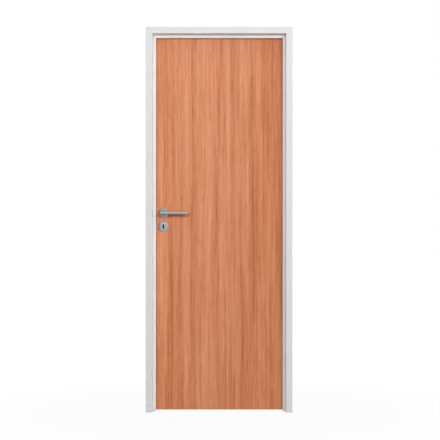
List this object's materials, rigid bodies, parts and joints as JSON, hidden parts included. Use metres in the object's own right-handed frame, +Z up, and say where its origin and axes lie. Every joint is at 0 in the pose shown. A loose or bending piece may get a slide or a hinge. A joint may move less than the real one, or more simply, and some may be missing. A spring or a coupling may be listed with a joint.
{
  "type": "flush door",
  "caption": "Flush door leaf with upright wood grain, hung in a narrow pressed steel frame, with lever handles on round rosettes and round key escutcheons.",
  "frame": {"origin": "middle of the underside of the hinge jamb's floor anchor, at floor level", "axes": "+X along the wall towards the hinge side (to the right, seen from the front), +Y through the wall from front to rear, +Z up"},
  "size_m": [0.778, 0.1715, 2.045],
  "materials": {
    "door_laminate": "satin",
    "edge_lipping": "satin",
    "core_board": "matte",
    "frame_paint": "satin",
    "seal_rubber": "matte",
    "satin_stainless": "satin",
    "galvanised_steel": "satin",
    "lock_steel": "matte"
  },
  "bodies": {
    "frame": {"hinge_jamb": "frame_paint", "lock_jamb": "frame_paint", "frame_head": "frame_paint", "hinge_side_seal": "seal_rubber", "lock_side_seal": "seal_rubber", "head_seal": "seal_rubber", "hinge_jamb_foot_anchor": "galvanised_steel", "lock_jamb_foot_anchor": "galvanised_steel", "strike_plate": "satin_stainless", "strike_box": "galvanised_steel", "top_hinge_frame_leaf": "satin_stainless", "top_hinge_pin": "satin_stainless", "top_hinge_reinforcement": "galvanised_steel", "middle_hinge_frame_leaf": "satin_stainless", "middle_hinge_pin": "satin_stainless", "middle_hinge_reinforcement": "galvanised_steel", "bottom_hinge_frame_leaf": "satin_stainless", "bottom_hinge_pin": "satin_stainless", "bottom_hinge_reinforcement": "galvanised_steel"},
    "leaf": {"front_face_panel": "door_laminate", "rear_face_panel": "door_laminate", "hinge_stile": "edge_lipping", "lock_stile": "edge_lipping", "top_rail": "edge_lipping", "bottom_rail": "edge_lipping", "leaf_core": "core_board", "lock_case": "lock_steel", "lock_forend": "satin_stainless", "latch_bolt": "satin_stainless", "dead_bolt": "satin_stainless", "front_rosette": "satin_stainless", "rear_rosette": "satin_stainless", "front_escutcheon": "satin_stainless", "rear_escutcheon": "satin_stainless", "top_hinge_door_leaf": "satin_stainless", "middle_hinge_door_leaf": "satin_stainless", "bottom_hinge_door_leaf": "satin_stainless"},
    "lever_pair": {"front_lever": "satin_stainless", "rear_lever": "satin_stainless", "spindle": "satin_stainless"}
  },
  "joints": [
    {"name": "leaf_swing", "type": "hinge", "parent": "frame", "child": "leaf", "pos_m": [-0.019, 0.063, 0], "axis": [0, 0, -1], "range_deg": [0, 170]},
    {"name": "lever_turn", "type": "hinge", "parent": "leaf", "child": "lever_pair", "pos_m": [-0.6715, 0.035, 1.06], "axis": [0, 1, 0], "range_deg": [0, 40], "stiffness_Nm_per_rad": 1.5, "springref_deg": -34.38}
  ]
}
